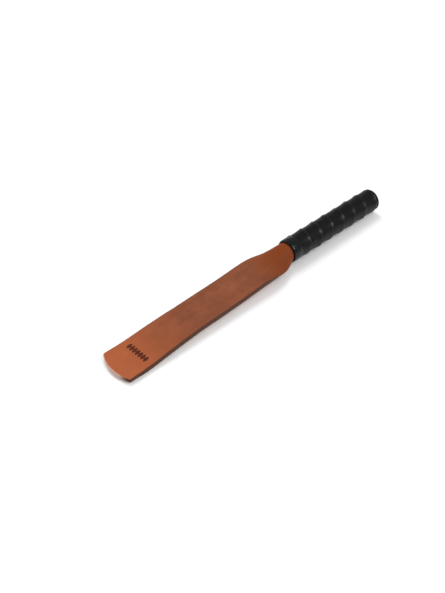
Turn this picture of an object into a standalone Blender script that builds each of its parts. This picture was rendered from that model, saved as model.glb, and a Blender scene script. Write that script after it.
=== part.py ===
"""Leather strop for woodcarving tools, modelled as the pieces it would come apart into.

Two leather layers, glued back to back, make the flexible blade. At the neck they roll down together
round a hardwood dowel, and are tacked to it. A filler strip closes the slot between their rolled
edges, so that the grip is round, and a helical black leather strip binds it. A finishing band
closes the strip at the front and a tacked leather disc closes the butt.

Frame: metres, +Z up. The strop lies on the plane z = 0, on the flat of its tip and on its grip
near the butt. +X runs from the tip to the butt, and the origin is below the middle of its length.
"""

import math

import bmesh
import bpy
from mathutils import Matrix, Vector

MM = 0.001

# Driving dimensions: blade
BLADE_LENGTH = 233.8 * MM
TIP_WIDTH = 43.4 * MM
BLADE_WIDTH = 39.7 * MM
TIP_TAPER_LENGTH = 92.0 * MM
TIP_ARC_RADIUS = 45.0 * MM
TIP_CORNER_RADIUS = 1.5 * MM
TIP_FLAT_LENGTH = 27.0 * MM
LAYER_THICKNESS = 3.0 * MM
TIP_SKIVE_DEPTH = 1.6 * MM
TIP_SKIVE_LENGTH = 22.0 * MM
EDGE_BEVEL = 0.4 * MM
BLADE_RISE = 9.0 * MM
LIFT_RUN = 9.0 * MM
FIRST_RISE_RUN = 31.0 * MM
SECOND_RISE_RUN = 63.0 * MM
LAST_RISE_RUN = 92.0 * MM

# Driving dimensions: neck, where the blade rolls down into a tube
NECK_DIAMETER = 22.6 * MM
NECK_LENGTH = 60.0 * MM
NECK_ROLL_POWER = 2.0
NECK_SLOT_ANGLE = math.radians(81.0)

# Driving dimensions: grip
GRIP_LENGTH = 141.4 * MM
GRIP_TILT_RISE = 1.3 * MM
STRIP_PITCH = 18.5 * MM
STRIP_LAP = 5.5 * MM
STRIP_STEP_ROOM = 0.4 * MM
STRIP_STEP_RUN = 1.4 * MM
STRIP_CLIMB_RUN = 1.6 * MM
STRIP_SWELL_RUN = 6.5 * MM
STRIP_THICKNESS = 1.4 * MM
STRIP_MARGIN_THICKNESS = 0.8 * MM
STRIP_RIDGE_THICKNESS = 1.05 * MM
STRIP_FIRST_RIDGE = 13.0 * MM
STRIP_RIDGE_ANGLE = math.radians(38.0)
BAND_LENGTH = 12.0 * MM
BAND_THICKNESS = 1.8 * MM
DISC_THICKNESS = 3.0 * MM
DISC_ROUNDING = 0.8 * MM

# Driving dimensions: core and tacks
CORE_NOSE_LENGTH = 12.0 * MM
CORE_NOSE_CHAMFER = 0.5 * MM
TAIL_TACKS = 3
TAIL_TACK_INSET = 20.0 * MM
TAIL_TACK_HEAD_DIAMETER = 7.0 * MM
TAIL_TACK_HEAD_THICKNESS = 0.7 * MM
TAIL_TACK_LENGTH = 9.6 * MM
BUTT_TACK_HEAD_DIAMETER = 9.0 * MM
BUTT_TACK_HEAD_THICKNESS = 1.0 * MM
BUTT_TACK_LENGTH = 14.0 * MM
TACK_SHANK_DIAMETER = 1.8 * MM

# Clearances
GLUE_GAP = 0.3 * MM
LAP_GAP = 0.3 * MM
TACK_CLEARANCE = 0.3 * MM
CORE_NOSE_CLEARANCE = 0.85 * MM

# Facets
ROW_POINTS = 20
FILLER_POINTS = 9
STRIP_STEPS_PER_TURN = 32
TURNED_STEPS = 48
TACK_SIDES = 16

# Sizes that follow
HALF_SEAM = GLUE_GAP / 2
LAYER_TOP = HALF_SEAM + LAYER_THICKNESS
NECK_RADIUS = NECK_DIAMETER / 2
SEAM_RADIUS = NECK_RADIUS - LAYER_TOP
CORE_RADIUS = SEAM_RADIUS - LAYER_TOP - GLUE_GAP
TAIL_WIDTH = SEAM_RADIUS * (2 * math.pi - NECK_SLOT_ANGLE)
STRIP_BORE_RADIUS = NECK_RADIUS + LAP_GAP
STRIP_MARGIN_RADIUS = STRIP_BORE_RADIUS + STRIP_MARGIN_THICKNESS
STRIP_PLAIN_RADIUS = STRIP_BORE_RADIUS + STRIP_THICKNESS
STRIP_LAP_RADIUS = STRIP_MARGIN_RADIUS + LAP_GAP
STRIP_RIDGE_RADIUS = STRIP_LAP_RADIUS + STRIP_RIDGE_THICKNESS
STRIP_WIDTH = STRIP_PITCH + STRIP_LAP
BUTT_AXIS_HEIGHT = STRIP_RIDGE_RADIUS
FRONT_AXIS_HEIGHT = BUTT_AXIS_HEIGHT + GRIP_TILT_RISE
GRIP_TILT = math.atan(GRIP_TILT_RISE / GRIP_LENGTH)
NECK_RISE = FRONT_AXIS_HEIGHT + SEAM_RADIUS - LAYER_TOP
DISC_FRONT = GRIP_LENGTH - DISC_THICKNESS
TAIL_END = DISC_FRONT - GLUE_GAP
TACK_HOLE_RADIUS = TACK_SHANK_DIAMETER / 2 + TACK_CLEARANCE
GRIP_FRONT_X = (BLADE_LENGTH - GRIP_LENGTH) / 2

# Rise of the blade's lower face above the table along its middle: the first places are measured
# from the tip, the others from the grip's front rim, and the blade's wave runs through them.
RISE_NEAR_TIP = (
    (0.0, 0.0),
    (TIP_FLAT_LENGTH, 0.0),
    (TIP_FLAT_LENGTH + LIFT_RUN, 0.08 * BLADE_RISE),
    (TIP_FLAT_LENGTH + FIRST_RISE_RUN, 0.35 * BLADE_RISE),
    (TIP_FLAT_LENGTH + SECOND_RISE_RUN, 0.58 * BLADE_RISE),
)
RISE_NEAR_GRIP = (
    (-LAST_RISE_RUN, 0.76 * BLADE_RISE),
    (-NECK_LENGTH, BLADE_RISE),
    (-0.55 * NECK_LENGTH, 0.73 * BLADE_RISE + 0.27 * NECK_RISE),
    (0.0, NECK_RISE),
    (GLUE_GAP, NECK_RISE),
)


def smoothstep(value):
    value = min(max(value, 0.0), 1.0)
    return value * value * (3.0 - 2.0 * value)


def smooth_through(points, x):
    """The height at x of a smooth curve that climbs through the points and never overshoots them."""
    grades = [(b[1] - a[1]) / (b[0] - a[0]) for a, b in zip(points, points[1:])]
    inner = [2 * g * h / (g + h) if g * h > 0 else 0.0 for g, h in zip(grades, grades[1:])]
    slopes = [grades[0], *inner, grades[-1]]
    last = len(points) - 2
    span = next((i for i in range(last) if x < points[i + 1][0]), last)
    (x0, y0), (x1, y1) = points[span], points[span + 1]
    length = x1 - x0
    t = min(max((x - x0) / length, 0.0), 1.0)
    ease = t * t * (3.0 - 2.0 * t)
    pull = t * (1.0 - t) * ((1.0 - t) * slopes[span] - t * slopes[span + 1])
    return y0 + (y1 - y0) * ease + length * pull


def seam_height(x):
    """Height of the seam between the layers, along its middle, x from the grip's front rim."""
    if x >= 0.0:
        return FRONT_AXIS_HEIGHT - x * math.tan(GRIP_TILT) + SEAM_RADIUS
    near_tip = [(place - BLADE_LENGTH, rise) for place, rise in RISE_NEAR_TIP]
    return LAYER_TOP + smooth_through([*near_tip, *RISE_NEAR_GRIP], x)


def rolled(x):
    """0 where the layers lie flat, growing through the neck to 1 where they are a tube."""
    return min(max(1.0 + x / NECK_LENGTH, 0.0), 1.0)


def seam_curvature(x):
    return rolled(x) ** NECK_ROLL_POWER / SEAM_RADIUS


def half_width(x):
    """Half the flat width of the layers: they flare slightly to the tip, where the corners are round,
    and in the neck they are trimmed to the width that rolls up and leaves the slot open."""
    from_tip = min((x + BLADE_LENGTH) / TIP_TAPER_LENGTH, 1.0)
    flare = 0.5 * (1.0 - from_tip + math.cos(0.5 * math.pi * from_tip))
    into_corner = TIP_CORNER_RADIUS - min(x + BLADE_LENGTH, TIP_CORNER_RADIUS)
    trim = TIP_CORNER_RADIUS - math.sqrt(TIP_CORNER_RADIUS**2 - into_corner**2)
    wide = BLADE_WIDTH + (TIP_WIDTH - BLADE_WIDTH) * flare + (TAIL_WIDTH - BLADE_WIDTH) * rolled(x)
    return wide / 2 - trim


def bowed(x, across):
    """Carries a station near the tip back towards the grip at its sides, along the tip's arc."""
    back = TIP_ARC_RADIUS - math.sqrt(TIP_ARC_RADIUS**2 - across**2)
    return x + back * (1.0 - smoothstep((x + BLADE_LENGTH) / TIP_FLAT_LENGTH))


def leather_point(x, across, offset):
    """A point of the blade: its place along, its flat distance from the middle, its height off the seam."""
    x = bowed(x, across)
    curvature = seam_curvature(x)
    if curvature == 0.0:
        return (GRIP_FRONT_X + x, across, seam_height(x) + offset)
    radius = 1.0 / curvature
    angle = across * curvature
    y = (radius + offset) * math.sin(angle)
    return (GRIP_FRONT_X + x, y, seam_height(x) - radius + (radius + offset) * math.cos(angle))


def stations():
    """Places along the blade and tails where a section is drawn, closest where the shape turns."""
    corner = [-BLADE_LENGTH + TIP_CORNER_RADIUS * part for part in (0.0, 0.12, 0.45, 1.0)]
    skive_end, flat_end = -BLADE_LENGTH + TIP_SKIVE_LENGTH, -BLADE_LENGTH + TIP_FLAT_LENGTH
    skived = [corner[-1] + (skive_end - corner[-1]) * i / 5 for i in range(1, 6)]
    wave = [flat_end + (-NECK_LENGTH - flat_end) * i / 14 for i in range(15)]
    neck = [-NECK_LENGTH * (1.0 - i / 16) for i in range(1, 17)]
    return [*corner, *skived, *wave, *neck, TAIL_END]


def new_object(name, mesh_source, collection, material=None):
    """Makes an object from a bmesh, turns its faces outwards and shades its round stretches smooth."""
    bmesh.ops.recalc_face_normals(mesh_source, faces=mesh_source.faces)
    mesh = bpy.data.meshes.new(name)
    mesh_source.to_mesh(mesh)
    mesh_source.free()
    mesh.shade_smooth()
    mesh.set_sharp_from_angle(angle=math.radians(40.0))
    made = bpy.data.objects.new(name, mesh)
    collection.objects.link(made)
    if material:
        mesh.materials.append(material)
    return made


def loft(name, rings, collection, material):
    """Skins closed rings of equal count in order. Each ring is two equal rows, one back over the other,
    and each cap is a strip between them whose diagonals lean away from both edges."""
    skin = bmesh.new()
    drawn = [[skin.verts.new(point) for point in ring] for ring in rings]
    count = len(rings[0])
    for near, far in zip(drawn, drawn[1:]):
        for i in range(count):
            following = (i + 1) % count
            skin.faces.new((near[i], near[following], far[following], far[i]))
    for ring in (drawn[0], drawn[-1]):
        for i in range(count // 2 - 1):
            a, b, c, d = ring[i], ring[i + 1], ring[count - 2 - i], ring[count - 1 - i]
            halves = ((a, b, d), (b, c, d)) if i < count // 4 else ((a, b, c), (a, c, d))
            for half in halves:
                skin.faces.new(half)
    return new_object(name, skin, collection, material)


def cylinder(name, radius, length, collection, material=None, sides=TACK_SIDES):
    """A cylinder along +Z from the origin."""
    body = bmesh.new()
    lift = Matrix.Translation((0.0, 0.0, length / 2))
    bmesh.ops.create_cone(
        body, cap_ends=True, segments=sides, radius1=radius, radius2=radius, depth=length, matrix=lift
    )
    return new_object(name, body, collection, material)


def turned(name, outline, collection, material=None, steps=TURNED_STEPS):
    """A solid turned about X. The outline runs towards +X on its outer side, as (x, radius) points:
    it starts and ends on the axis, or closes on itself if the solid is a ring."""
    on_axis = outline[0][1] == 0.0
    profile = bmesh.new()
    points = [profile.verts.new((x, 0.0, radius)) for x, radius in outline]
    for a, b in zip(points, points[1:] if on_axis else [*points[1:], points[0]]):
        profile.edges.new((a, b))
    made = new_object(name, profile, collection, material)
    screw = made.modifiers.new("turn", "SCREW")
    screw.axis = "X"
    screw.steps = screw.render_steps = steps
    screw.use_merge_vertices = True
    screw.merge_threshold = 0.01 * MM
    screw.use_normal_flip = True
    return made


def cut(target, cutter, operation="DIFFERENCE"):
    cutter.hide_render = True
    cutter.display_type = "WIRE"
    boolean = target.modifiers.new(cutter.name, "BOOLEAN")
    boolean.operation = operation
    boolean.object = cutter


def stand(part, frame, location, tip_rotation=0.0):
    """Puts a piece in the grip's own frame, its +Z turned about Y by tip_rotation."""
    part.parent = frame
    part.location = location
    part.rotation_euler = (0.0, tip_rotation, 0.0)


def material(name, color, roughness, metallic=0.0):
    made = bpy.data.materials.new(name)
    made.use_nodes = True
    shader = made.node_tree.nodes["Principled BSDF"]
    shader.inputs["Base Color"].default_value = (*color, 1.0)
    shader.inputs["Roughness"].default_value = roughness
    shader.inputs["Metallic"].default_value = metallic
    return made


def leather_layer(name, side, parts, leather):
    """The upper layer for side 1, the lower for side -1, which is skived thin under the tip."""
    last = ROW_POINTS - 1
    rings = []
    for x in stations():
        wide = half_width(x)
        skive = 1.0 - smoothstep((x + BLADE_LENGTH) / TIP_SKIVE_LENGTH)
        face = LAYER_TOP - (TIP_SKIVE_DEPTH * skive if side < 0 else 0.0)
        face_row = [(-wide, face - EDGE_BEVEL)]
        face_row += [((wide - EDGE_BEVEL) * (2.0 * (i - 1) / (last - 2) - 1.0), face) for i in range(1, last)]
        face_row += [(wide, face - EDGE_BEVEL)]
        seam_row = [(wide * (1.0 - 2.0 * i / last), HALF_SEAM) for i in range(ROW_POINTS)]
        rings.append([leather_point(x, across, side * offset) for across, offset in face_row + seam_row])
    return loft(name, rings, parts, leather)


def handle_core(parts, frame, wood):
    """The hardwood dowel inside the rolled layers, with a nose that tapers to clear the neck's crown."""
    axis_height = FRONT_AXIS_HEIGHT + CORE_NOSE_LENGTH * math.tan(GRIP_TILT)
    crown_inside = seam_height(-CORE_NOSE_LENGTH) - LAYER_TOP
    nose_radius = crown_inside - axis_height - CORE_NOSE_CLEARANCE
    outline = [
        (-CORE_NOSE_LENGTH, 0.0),
        (-CORE_NOSE_LENGTH, nose_radius - CORE_NOSE_CHAMFER),
        (-CORE_NOSE_LENGTH + CORE_NOSE_CHAMFER, nose_radius),
        (0.0, CORE_RADIUS),
        (TAIL_END, CORE_RADIUS),
        (TAIL_END, 0.0),
    ]
    core = turned("handle_core", outline, parts, wood)
    stand(core, frame, (0.0, 0.0, 0.0))
    return core


def filler_strip(parts, frame, leather):
    """The strip in the slot between the rolled edges, from the dowel out to the tube's round."""
    rings = []
    for x in (GLUE_GAP, TAIL_END):
        rows = []
        for radius in (NECK_RADIUS, CORE_RADIUS + GLUE_GAP):
            half = NECK_SLOT_ANGLE / 2 - GLUE_GAP / radius
            angles = [half * (2.0 * i / (FILLER_POINTS - 1) - 1.0) for i in range(FILLER_POINTS)]
            rows.append([(x, radius * math.sin(angle), -radius * math.cos(angle)) for angle in angles])
        rings.append(rows[0] + rows[1][::-1])
    filler = loft("filler_strip", rings, parts, leather)
    stand(filler, frame, (0.0, 0.0, 0.0))
    return filler


def strip_section():
    """The strip's section as (place across its width from the front edge, radius)."""
    margin = STRIP_LAP + STRIP_STEP_ROOM
    climb = STRIP_PITCH - STRIP_STEP_ROOM
    swell = STRIP_RIDGE_RADIUS - STRIP_PLAIN_RADIUS
    outer = [
        (0.0, STRIP_MARGIN_RADIUS),
        (margin, STRIP_MARGIN_RADIUS),
        (margin + STRIP_STEP_RUN, STRIP_PLAIN_RADIUS),
        (STRIP_PITCH - STRIP_SWELL_RUN, STRIP_PLAIN_RADIUS),
        (STRIP_PITCH - STRIP_SWELL_RUN / 2, STRIP_PLAIN_RADIUS + 0.2 * swell),
        (STRIP_PITCH + STRIP_STEP_ROOM, STRIP_PLAIN_RADIUS + 0.85 * swell),
        (STRIP_WIDTH, STRIP_RIDGE_RADIUS),
    ]
    inner = [
        (STRIP_WIDTH, STRIP_LAP_RADIUS),
        (climb, STRIP_LAP_RADIUS),
        (climb - STRIP_CLIMB_RUN, STRIP_BORE_RADIUS),
        (0.0, STRIP_BORE_RADIUS),
    ]
    return [*outer, *inner]


def grip_strip(parts, cutters, frame, leather):
    """A long strip wound from the butt to the front, each turn lapping over the last one's front margin.
    It is wound past both ends of the grip and trimmed to it."""
    butt_turns = math.ceil((GRIP_LENGTH - STRIP_FIRST_RIDGE) / STRIP_PITCH) + 2
    turns = butt_turns + 1
    start = STRIP_FIRST_RIDGE + butt_turns * STRIP_PITCH - STRIP_WIDTH
    wound = bmesh.new()
    turn_to_start = Matrix.Rotation(STRIP_RIDGE_ANGLE - math.pi / 2, 4, "X")
    points = [turn_to_start @ Vector((start + u, 0.0, radius)) for u, radius in strip_section()]
    ring = [wound.verts.new(point) for point in points]
    edges = [wound.edges.new((a, b)) for a, b in zip(ring, [*ring[1:], ring[0]])]
    bmesh.ops.spin(
        wound,
        geom=ring + edges,
        cent=(0.0, 0.0, 0.0),
        axis=(1.0, 0.0, 0.0),
        dvec=(-STRIP_PITCH / STRIP_STEPS_PER_TURN, 0.0, 0.0),
        angle=turns * 2 * math.pi,
        steps=turns * STRIP_STEPS_PER_TURN,
    )
    bmesh.ops.holes_fill(wound, edges=[edge for edge in wound.edges if edge.is_boundary])
    strip = new_object("grip_strip", wound, parts, leather)
    stand(strip, frame, (0.0, 0.0, 0.0))
    strip_front = BAND_LENGTH + LAP_GAP
    trim = cylinder("strip_trim", 2 * NECK_RADIUS, TAIL_END - strip_front, cutters, sides=24)
    stand(trim, frame, (strip_front, 0.0, 0.0), math.pi / 2)
    cut(strip, trim, "INTERSECT")
    return strip


def finish_band(parts, frame, leather):
    """The ring of leather that holds down the strip's front end."""
    outer = STRIP_BORE_RADIUS + BAND_THICKNESS
    soft = 0.35 * BAND_THICKNESS
    outline = [
        (0.0, STRIP_BORE_RADIUS),
        (0.0, outer - soft),
        (0.3 * soft, outer - 0.3 * soft),
        (soft, outer),
        (BAND_LENGTH - soft, outer),
        (BAND_LENGTH - 0.3 * soft, outer - 0.3 * soft),
        (BAND_LENGTH, outer - soft),
        (BAND_LENGTH, STRIP_BORE_RADIUS),
    ]
    band = turned("finish_band", outline, parts, leather)
    stand(band, frame, (0.0, 0.0, 0.0))


def butt_disc(parts, frame, leather):
    """The leather disc over the butt, bored and recessed for its tack."""
    radius = STRIP_PLAIN_RADIUS
    seat = GRIP_LENGTH - BUTT_TACK_HEAD_THICKNESS - TACK_CLEARANCE
    recess = BUTT_TACK_HEAD_DIAMETER / 2 + TACK_CLEARANCE
    rounding = [
        (
            GRIP_LENGTH - DISC_ROUNDING * (1.0 - math.sin(angle)),
            radius - DISC_ROUNDING * (1.0 - math.cos(angle)),
        )
        for angle in (0.0, math.pi / 6, math.pi / 3, math.pi / 2)
    ]
    outline = [
        (DISC_FRONT, TACK_HOLE_RADIUS),
        (DISC_FRONT, radius),
        *rounding,
        (GRIP_LENGTH, recess),
        (seat, recess),
        (seat, TACK_HOLE_RADIUS),
    ]
    disc = turned("butt_disc", outline, parts, leather)
    stand(disc, frame, (0.0, 0.0, 0.0))


def tack(name, head_diameter, head_thickness, length, parts, metal):
    """A flat-headed tack, head face at the origin and point towards -X, as one turned solid."""
    head, shank = head_diameter / 2, TACK_SHANK_DIAMETER / 2
    outline = [
        (-length, 0.0),
        (-length + 2 * TACK_SHANK_DIAMETER, shank),
        (-head_thickness, shank),
        (-head_thickness, head),
        (-0.4 * head_thickness, head),
        (0.0, 0.9 * head),
        (0.0, 0.0),
    ]
    return turned(name, outline, parts, metal, steps=TACK_SIDES)


def tack_pocket(name, head_diameter, head_thickness, length, cutters):
    """The hollow a tack sits in: a stepped hole with clearance all round, open above the head."""
    recess = head_diameter / 2 + TACK_CLEARANCE
    seat = -head_thickness - TACK_CLEARANCE
    bottom = -length - TACK_CLEARANCE
    outline = [
        (bottom, 0.0),
        (bottom, TACK_HOLE_RADIUS),
        (seat, TACK_HOLE_RADIUS),
        (seat, recess),
        (head_diameter, recess),
        (head_diameter, 0.0),
    ]
    return turned(name, outline, cutters, steps=TACK_SIDES)


def butt_tack(parts, cutters, frame, core, steel):
    """The tack that holds the disc to the core."""
    size = (BUTT_TACK_HEAD_DIAMETER, BUTT_TACK_HEAD_THICKNESS, BUTT_TACK_LENGTH)
    stand(tack("butt_tack", *size, parts, steel), frame, (GRIP_LENGTH, 0.0, 0.0))
    pocket = tack_pocket("butt_tack_pocket", *size, cutters)
    stand(pocket, frame, (GRIP_LENGTH, 0.0, 0.0))
    cut(core, pocket)


def row_of_tacks(name, places, side, held, parts, cutters, frame, steel):
    """Tacks driven in towards the grip's axis through the held pieces, heads let into the outermost."""
    size = (TAIL_TACK_HEAD_DIAMETER, TAIL_TACK_HEAD_THICKNESS, TAIL_TACK_LENGTH)
    face = NECK_RADIUS - TACK_CLEARANCE
    outward = -side * math.pi / 2
    for number, x in enumerate(places, start=1):
        place = (x, 0.0, side * face)
        stand(tack(f"{name}_{number}", *size, parts, steel), frame, place, outward)
        pocket = tack_pocket(f"{name}_{number}_pocket", *size, cutters)
        stand(pocket, frame, place, outward)
        for piece in held:
            cut(piece, pocket)


def main():
    for old in list(bpy.data.objects):
        bpy.data.objects.remove(old)
    scene = bpy.context.scene
    parts = bpy.data.collections.new("leather_strop")
    cutters = bpy.data.collections.new("cutters")
    scene.collection.children.link(parts)
    scene.collection.children.link(cutters)

    grip_frame = bpy.data.objects.new("grip_frame", None)
    grip_frame.location = (GRIP_FRONT_X, 0.0, FRONT_AXIS_HEIGHT)
    grip_frame.rotation_euler = (0.0, GRIP_TILT, 0.0)
    scene.collection.objects.link(grip_frame)

    tan_leather = material("tan_leather", (0.27, 0.085, 0.035), 0.5)
    black_leather = material("black_leather", (0.014, 0.014, 0.015), 0.55)
    hardwood = material("hardwood", (0.45, 0.27, 0.13), 0.6)
    steel = material("steel", (0.6, 0.6, 0.6), 0.35, 1.0)

    upper = leather_layer("upper_leather", 1, parts, tan_leather)
    lower = leather_layer("lower_leather", -1, parts, tan_leather)
    core = handle_core(parts, grip_frame, hardwood)
    filler = filler_strip(parts, grip_frame, tan_leather)
    grip_strip(parts, cutters, grip_frame, black_leather)
    finish_band(parts, grip_frame, black_leather)
    butt_disc(parts, grip_frame, black_leather)
    butt_tack(parts, cutters, grip_frame, core, steel)

    step = (TAIL_END - 2 * TAIL_TACK_INSET) / (TAIL_TACKS - 1)
    tail_places = [TAIL_TACK_INSET + step * i for i in range(TAIL_TACKS)]
    filler_places = [place + step / 2 for place in tail_places[:-1]]
    common = (parts, cutters, grip_frame, steel)
    row_of_tacks("tail_tack", tail_places, 1, (upper, lower, core), *common)
    row_of_tacks("filler_tack", filler_places, -1, (filler, core), *common)


main()
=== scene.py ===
# %% [markdown]
# # A leather strop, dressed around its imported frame
#
# A strop is a strip of leather that takes the last burr off a carving knife. This one is two
# layers of leather glued back to back. They lie flat as the blade, roll down together into a
# round neck, and run on inside a grip that is bound with a black leather strip. The packed
# frame gives every piece its place. This lesson makes the surfaces that a hand and an eye
# would meet: the grain, the burnished edges, the stamped border and the overlapping turns.

# %% Load the frame
import math

import bmesh
import bpy
import numpy as np
from mathutils import Matrix, Vector, noise
from mathutils.bvhtree import BVHTree


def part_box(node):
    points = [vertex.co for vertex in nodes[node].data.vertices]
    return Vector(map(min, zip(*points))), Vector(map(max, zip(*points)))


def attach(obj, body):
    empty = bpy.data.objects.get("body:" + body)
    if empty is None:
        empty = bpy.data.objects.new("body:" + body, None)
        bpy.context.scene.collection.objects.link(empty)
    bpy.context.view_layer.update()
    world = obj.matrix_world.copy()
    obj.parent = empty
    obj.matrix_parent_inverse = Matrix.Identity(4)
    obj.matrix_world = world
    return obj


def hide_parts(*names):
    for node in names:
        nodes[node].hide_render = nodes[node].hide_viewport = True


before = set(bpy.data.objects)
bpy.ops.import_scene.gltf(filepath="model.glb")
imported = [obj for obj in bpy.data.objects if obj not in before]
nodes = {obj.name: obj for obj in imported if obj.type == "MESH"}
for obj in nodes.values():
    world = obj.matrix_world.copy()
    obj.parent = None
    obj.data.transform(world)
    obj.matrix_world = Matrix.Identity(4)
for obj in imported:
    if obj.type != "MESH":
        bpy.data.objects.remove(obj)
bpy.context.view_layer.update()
MM = 0.001
print("nodes:", ", ".join(sorted(nodes)))


# %% [markdown]
# ## Measuring the grip's axis
#
# The grip is turned, and it leans a little, because its front is held off the table. The band
# at its front and the disc at its butt are both turned about the same line, so the middles of
# their points give that line without a guess. Everything on the grip is then made along a
# plain axis and stood in this frame by one matrix.

# %% Measure the grip
def points_of(name):
    return np.array([vertex.co for vertex in nodes[name].data.vertices], float)


band_points, disc_points = points_of("finish_band"), points_of("butt_disc")
axis_line = disc_points.mean(0) - band_points.mean(0)
axis_line /= np.linalg.norm(axis_line)
along_band = (band_points - band_points.mean(0)) @ axis_line
grip_front = band_points.mean(0) + axis_line * along_band.min()


def along_grip(points):
    return (points - grip_front) @ axis_line


def off_axis(points):
    return np.linalg.norm(np.cross(points - grip_front, axis_line), axis=1)


BAND_LENGTH = along_grip(band_points).max()
GRIP_LENGTH = along_grip(disc_points).max()
upper_points = points_of("upper_leather")
TAIL_END = along_grip(upper_points).max()
BORE_RADIUS = off_axis(band_points).min()
BAND_RADIUS = off_axis(band_points).max()
DISC_RADIUS = off_axis(disc_points).max()
in_grip = upper_points[along_grip(upper_points) > BAND_LENGTH]
NECK_RADIUS = off_axis(in_grip).max()
grip_tilt = -math.asin(axis_line[2])
grip_matrix = Matrix.Translation(grip_front) @ Matrix.Rotation(grip_tilt, 4, "Y")
print(f"grip {GRIP_LENGTH / MM:.1f} mm long, leaning {math.degrees(grip_tilt):.2f} degrees")
print(f"bore {BORE_RADIUS / MM:.2f} mm, neck {NECK_RADIUS / MM:.2f} mm")


# %% [markdown]
# ## Measuring the blade
#
# The blade waves a little, as a strop that has been used does. A ray dropped onto the CAD
# layer finds the height of its crown at any place. The CAD mesh is coarse, so the heights are
# averaged over a short stretch: the wave stays, and the flats between its stations go. The
# wave is carried on a little past both ends first, so that the average has something there.

# %% Measure the blade's crown
graph = bpy.context.evaluated_depsgraph_get()
upper_tree = BVHTree.FromObject(nodes["upper_leather"], graph)
TIP_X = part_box("upper_leather")[0].x
FRONT_X = grip_front[0]
BLADE_LENGTH = FRONT_X - TIP_X
WAVE_STEP = 2.0 * MM
WAVE_BLUR = 5.0 * MM
WAVE_MARGIN = 40 * MM
BELL_REACH = 10
SEAM_HALF_GAP = 0.15 * MM


def crown_at(x):
    hit = upper_tree.ray_cast(Vector((x, 0.0, 1.0)), Vector((0.0, 0.0, -1.0)))[0]
    return hit.z


measured_x = np.arange(TIP_X + MM, FRONT_X, WAVE_STEP)
measured_z = np.array([crown_at(x) for x in measured_x])
wave_x = np.arange(TIP_X - WAVE_MARGIN, FRONT_X + WAVE_MARGIN, WAVE_STEP)
wave_z = np.interp(wave_x, measured_x, measured_z)
past_front = wave_x > FRONT_X
slope = axis_line[2] / axis_line[0]
front_crown = grip_front[2] + NECK_RADIUS
wave_z[past_front] = front_crown + (wave_x[past_front] - FRONT_X) * slope
from_peak = np.arange(-BELL_REACH, BELL_REACH + 1) * WAVE_STEP
bell = np.exp(-0.5 * (from_peak / WAVE_BLUR) ** 2)
smooth_wave = np.convolve(wave_z, bell / bell.sum(), mode="same")
lowest = measured_z.min()
print(f"blade {BLADE_LENGTH / MM:.1f} mm long, crown {lowest / MM:.1f} mm and up")

middle = Vector((TIP_X + BLADE_LENGTH / 2, 0.0, 0.0))
underside = upper_tree.ray_cast(middle, Vector((0.0, 0.0, 1.0)))[0].z
LAYER_THICKNESS = crown_at(middle.x) - underside
LAYER_TOP = LAYER_THICKNESS + SEAM_HALF_GAP
SEAM_RADIUS = NECK_RADIUS - LAYER_TOP
print(f"layers {LAYER_THICKNESS / MM:.2f} mm thick")


def smoothstep(value):
    value = np.clip(value, 0.0, 1.0)
    return value * value * (3.0 - 2.0 * value)


def wander(points, size, seed):
    """Smooth noise about 0 for each row of points, its lumps as big as size."""
    shift = Vector((seed * 7.3, seed * 3.1, seed * 5.7))
    return np.array([noise.noise(Vector(point) / size + shift) for point in points])


# %% [markdown]
# ## Bending flat leather
#
# Leather is cut, skived and stamped while it is flat, and bent afterwards. The script works
# the same way: each layer is made as a flat slab in cutting coordinates (distance from the
# grip's rim, distance across, height off the glue seam), and one function bends it. The flat
# coordinates are kept on the mesh, so the grain in the material isn't stretched by the bend.

# %% Say how flat leather bends
NECK_LENGTH = 60.0 * MM
NECK_ROLL_POWER = 2.0
BLADE_WIDTH = 39.7 * MM
TIP_WIDTH = 43.4 * MM
TIP_TAPER_LENGTH = 92.0 * MM
TIP_ARC_RADIUS = 45.0 * MM
TIP_CORNER_RADIUS = 1.5 * MM
TIP_FLAT_LENGTH = 27.0 * MM
TIP_SKIVE_DEPTH = 1.6 * MM
TIP_SKIVE_LENGTH = 22.0 * MM
WIDEST = 30 * MM
LEAST_CURVATURE = 1e-3


def bend(flat):
    """World points for flat ones: x from the grip's rim, across, offset from the seam."""
    across, offset = flat[:, 1], flat[:, 2]
    arc_y = np.clip(across, -WIDEST, WIDEST)
    sagitta = TIP_ARC_RADIUS - np.sqrt(TIP_ARC_RADIUS**2 - arc_y**2)
    from_tip = flat[:, 0] + BLADE_LENGTH
    x = flat[:, 0] + sagitta * (1.0 - smoothstep(from_tip / TIP_FLAT_LENGTH))
    seam = np.interp(FRONT_X + x, wave_x, smooth_wave) - LAYER_TOP
    on_grip = x > 0.0
    seam[on_grip] = front_crown - LAYER_TOP + x[on_grip] * slope
    rolled = np.clip(1.0 + x / NECK_LENGTH, 0.0, 1.0)
    curvature = np.maximum(rolled**NECK_ROLL_POWER / SEAM_RADIUS, LEAST_CURVATURE)
    radius = 1.0 / curvature
    angle = across * curvature
    y = (radius + offset) * np.sin(angle)
    z = seam - radius + (radius + offset) * np.cos(angle)
    return np.stack([FRONT_X + x, y, z], axis=1)


def half_width(x):
    """Half the flat leather's width: it widens towards the tip, whose corners are round."""
    tapered = np.minimum((x + BLADE_LENGTH) / TIP_TAPER_LENGTH, 1.0)
    flare = 0.5 * (1.0 - tapered + np.cos(0.5 * math.pi * tapered))
    into_corner = np.clip(TIP_CORNER_RADIUS - x - BLADE_LENGTH, 0.0, TIP_CORNER_RADIUS)
    trim = TIP_CORNER_RADIUS - np.sqrt(TIP_CORNER_RADIUS**2 - into_corner**2)
    return (BLADE_WIDTH + (TIP_WIDTH - BLADE_WIDTH) * flare) / 2 - trim


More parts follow.
